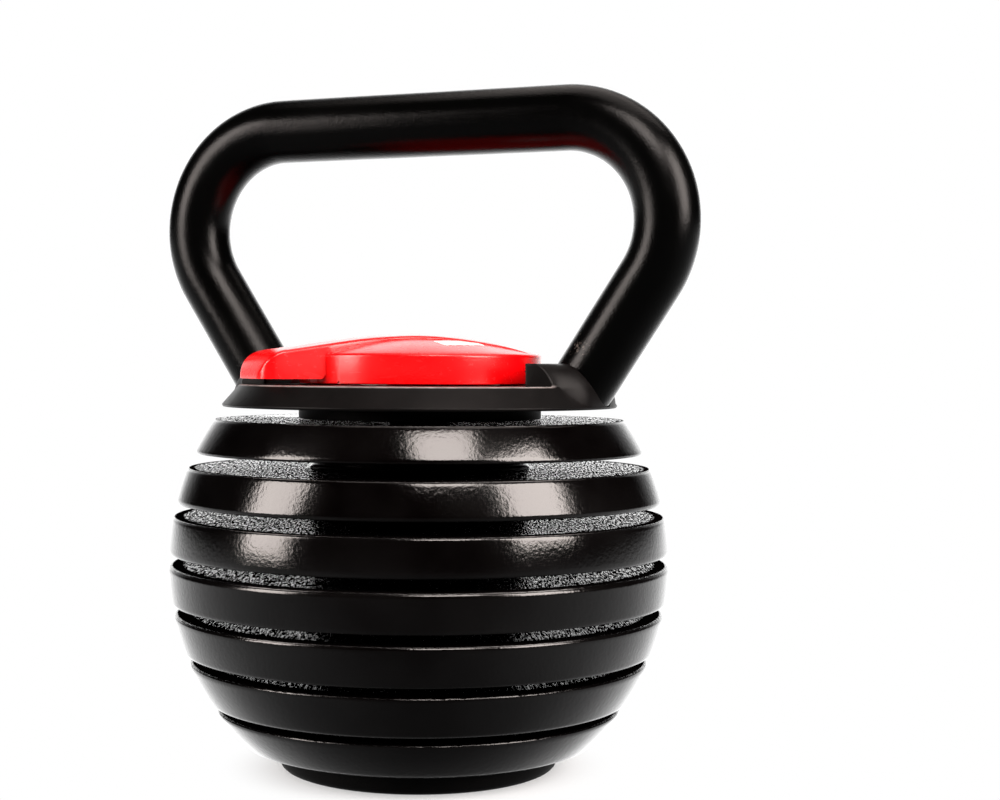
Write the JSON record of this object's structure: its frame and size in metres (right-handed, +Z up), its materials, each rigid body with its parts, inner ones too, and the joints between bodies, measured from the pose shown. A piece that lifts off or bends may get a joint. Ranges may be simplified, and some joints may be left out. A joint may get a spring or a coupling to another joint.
{
  "type": "adjustable kettlebell",
  "caption": "Adjustable kettlebell: bent tube handle, skirt cover and turning lock lever over a stack of slotted cast plates that slide off a fixed centre column.",
  "frame": {"origin": "middle of the foot ring's underside, on the centre column's axis", "axes": "+Z up, +X along the handle's top bar, plates slide off towards -Y"},
  "size_m": [0.2282, 0.1989, 0.2692],
  "materials": {
    "cast_enamel": "glossy black enamel over cast iron",
    "powder_coated_tube": "fine semi-gloss black powder coat on steel tube",
    "black_plastic": "satin moulded black plastic",
    "red_plastic": "smooth moulded red plastic",
    "black_rubber": "matt moulded rubber",
    "zinc_steel": "turned and zinc plated steel",
    "spring_steel": "blued spring steel",
    "label_film": "plain printed film"
  },
  "bodies": {
    "frame": {"handle_tube": "powder_coated_tube", "head_plate": "zinc_steel", "skirt_cover": "black_plastic", "hub_spacer": "cast_enamel", "centre_column": "zinc_steel", "column_flange": "zinc_steel", "base_washer": "zinc_steel", "base_bolt": "zinc_steel", "foot_ring": "black_rubber", "plate_7": "cast_enamel", "hub_bolt_1": "zinc_steel", "hub_bolt_2": "zinc_steel", "hub_bolt_3": "zinc_steel", "hub_bolt_4": "zinc_steel", "cover_screw_1": "zinc_steel", "cover_screw_2": "zinc_steel", "cover_screw_3": "zinc_steel", "cover_screw_4": "zinc_steel"},
    "lock": {"key_shaft": "zinc_steel", "thrust_washer": "spring_steel", "wave_washer": "spring_steel", "retaining_clip": "spring_steel", "lever_knob": "red_plastic", "knob_set_screw": "spring_steel", "knob_label": "label_film", "lock_pin_1": "zinc_steel", "lock_pin_2": "zinc_steel", "lock_pin_3": "zinc_steel", "lock_pin_4": "zinc_steel", "lock_pin_5": "zinc_steel", "lock_pin_6": "zinc_steel"},
    "plate_1_body": {"plate_1": "cast_enamel"},
    "plate_2_body": {"plate_2": "cast_enamel"},
    "plate_3_body": {"plate_3": "cast_enamel"},
    "plate_4_body": {"plate_4": "cast_enamel"},
    "plate_5_body": {"plate_5": "cast_enamel"},
    "plate_6_body": {"plate_6": "cast_enamel"}
  },
  "joints": [
    {"name": "lever_turn", "type": "hinge", "parent": "frame", "child": "lock", "pos_m": [0, 0, 0.1605], "axis": [0, 0, 1], "range_deg": [0, 90]},
    {"name": "plate_1_slide", "type": "slide", "parent": "frame", "child": "plate_1_body", "axis": [0, -1, 0], "range_m": [0, 0.196]},
    {"name": "plate_2_slide", "type": "slide", "parent": "frame", "child": "plate_2_body", "axis": [0, -1, 0], "range_m": [0, 0.203]},
    {"name": "plate_3_slide", "type": "slide", "parent": "frame", "child": "plate_3_body", "axis": [0, -1, 0], "range_m": [0, 0.206]},
    {"name": "plate_4_slide", "type": "slide", "parent": "frame", "child": "plate_4_body", "axis": [0, -1, 0], "range_m": [0, 0.206]},
    {"name": "plate_5_slide", "type": "slide", "parent": "frame", "child": "plate_5_body", "axis": [0, -1, 0], "range_m": [0, 0.204]},
    {"name": "plate_6_slide", "type": "slide", "parent": "frame", "child": "plate_6_body", "axis": [0, -1, 0], "range_m": [0, 0.198]}
  ]
}
